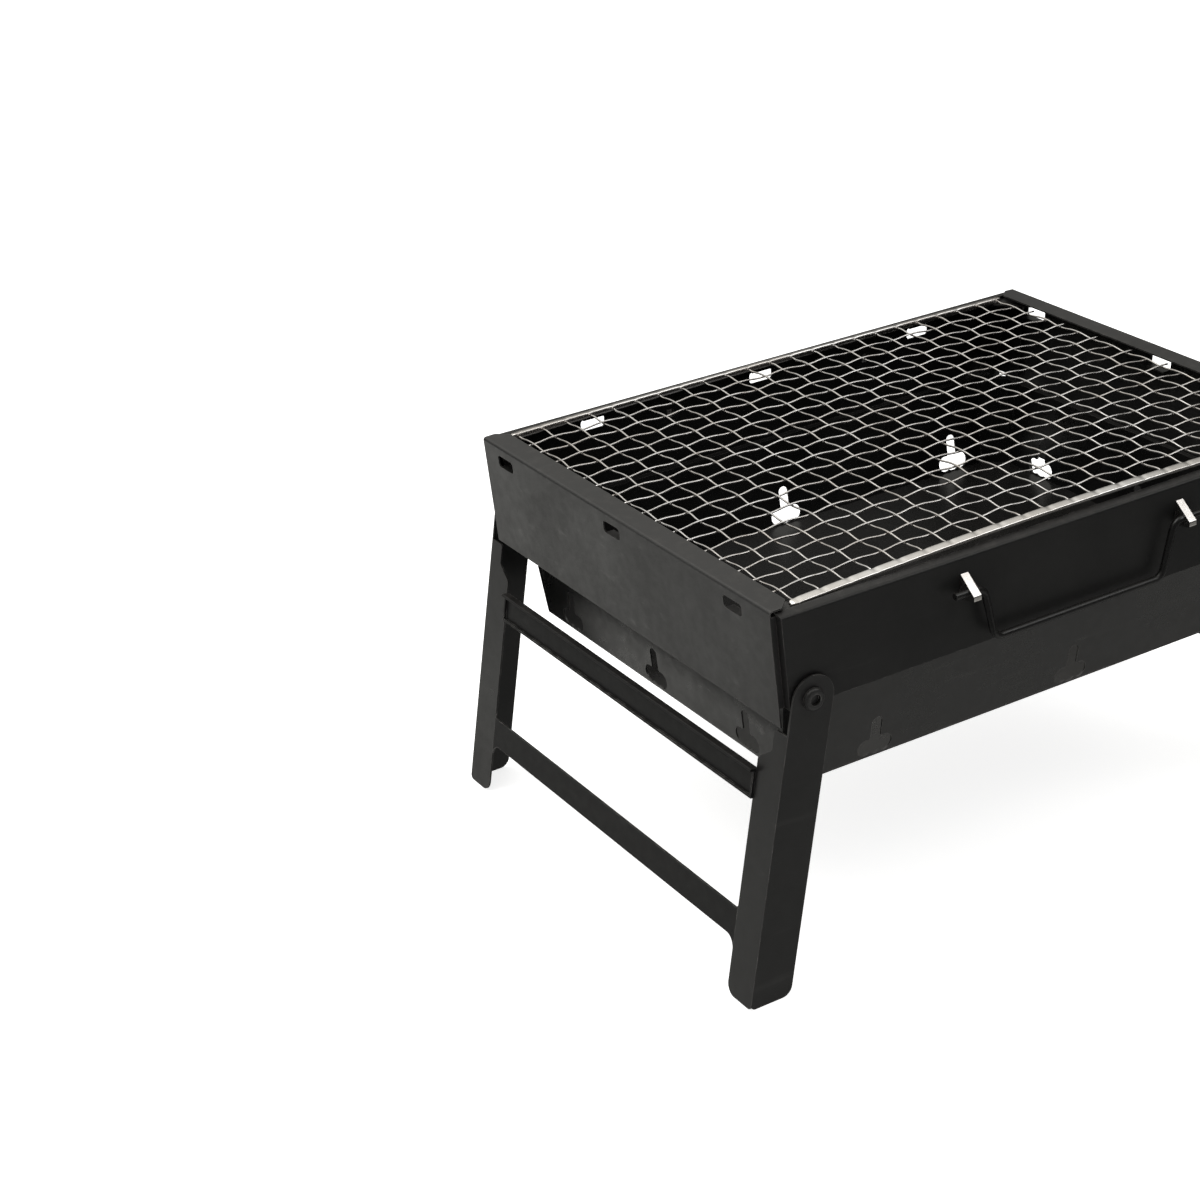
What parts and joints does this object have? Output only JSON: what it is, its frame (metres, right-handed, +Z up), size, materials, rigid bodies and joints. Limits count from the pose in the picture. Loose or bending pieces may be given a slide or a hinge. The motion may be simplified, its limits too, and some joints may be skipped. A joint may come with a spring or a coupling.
{
  "type": "folding camp grill",
  "caption": "Folding tabletop charcoal grill: black sheet-steel frame and drop-down tray, lift-off wire net, swing handles and splayed fold-in leg frames.",
  "frame": {"origin": "on the ground, under the middle of the opened grill", "axes": "+Z up, +X along the long sides towards the right-hand leg frame, -Y towards the front handle"},
  "size_m": [0.4018, 0.29, 0.2016],
  "materials": {
    "frame_paint": "satin black heat-resistant paint on steel sheet",
    "tray_paint": "satin black heat-resistant paint on steel sheet",
    "leg_paint": "satin black paint on steel sheet",
    "rivet_black": "blackened steel",
    "handle_wire": "semi-gloss black coating on steel wire",
    "net_chrome": "bright plated wire",
    "strip_chrome": "bright plated strip"
  },
  "bodies": {
    "frame": {"frame_side_front": "frame_paint", "frame_side_rear": "frame_paint", "frame_end_left": "frame_paint", "frame_end_right": "frame_paint", "corner_gussets": "frame_paint", "leg_rivets_left": "rivet_black", "leg_rivets_right": "rivet_black", "leg_washers_left": "rivet_black", "leg_washers_right": "rivet_black", "handle_ears_front": "frame_paint", "handle_ears_rear": "frame_paint"},
    "tray": {"tray_floor": "tray_paint", "tray_wall_front": "tray_paint", "tray_wall_rear": "tray_paint", "tray_wall_left": "tray_paint", "tray_wall_right": "tray_paint", "tray_corners": "tray_paint"},
    "leg_left": {"leg_left_post_front": "leg_paint", "leg_left_post_rear": "leg_paint", "leg_left_crossbar_upper": "leg_paint", "leg_left_crossbar_lower": "leg_paint"},
    "leg_right": {"leg_right_post_front": "leg_paint", "leg_right_post_rear": "leg_paint", "leg_right_crossbar_upper": "leg_paint", "leg_right_crossbar_lower": "leg_paint"},
    "handle_front": {"handle_front": "handle_wire"},
    "handle_rear": {"handle_rear": "handle_wire"},
    "grill_net": {"net_wires_long": "net_chrome", "net_wires_cross": "net_chrome", "net_strip_front": "strip_chrome", "net_strip_rear": "strip_chrome"}
  },
  "joints": [
    {"name": "leg_left_fold", "type": "hinge", "parent": "frame", "child": "leg_left", "pos_m": [-0.161, 0, 0.155], "axis": [0, -1, 0], "range_deg": [0, 100.5]},
    {"name": "leg_right_fold", "type": "hinge", "parent": "frame", "child": "leg_right", "pos_m": [0.161, 0, 0.155], "axis": [0, 1, 0], "range_deg": [0, 100.5]},
    {"name": "tray_lift", "type": "slide", "parent": "frame", "child": "tray", "axis": [0, 0, 1], "range_m": [0, 0.0439]},
    {"name": "handle_front_swing", "type": "hinge", "parent": "frame", "child": "handle_front", "pos_m": [0, -0.14, 0.183], "axis": [-1, 0, 0], "range_deg": [0, 170]},
    {"name": "handle_rear_swing", "type": "hinge", "parent": "frame", "child": "handle_rear", "pos_m": [0, 0.14, 0.183], "axis": [1, 0, 0], "range_deg": [0, 170]},
    {"name": "net_lift_off", "type": "slide", "parent": "frame", "child": "grill_net", "axis": [0, 0, 1], "range_m": [0, 0.15]}
  ],
  "couplings": [
    {"joint": "leg_right_fold", "follows": "leg_left_fold", "ratio": 1},
    {"joint": "tray_lift", "follows": "leg_left_fold", "m_per_rad": 0.024914}
  ]
}
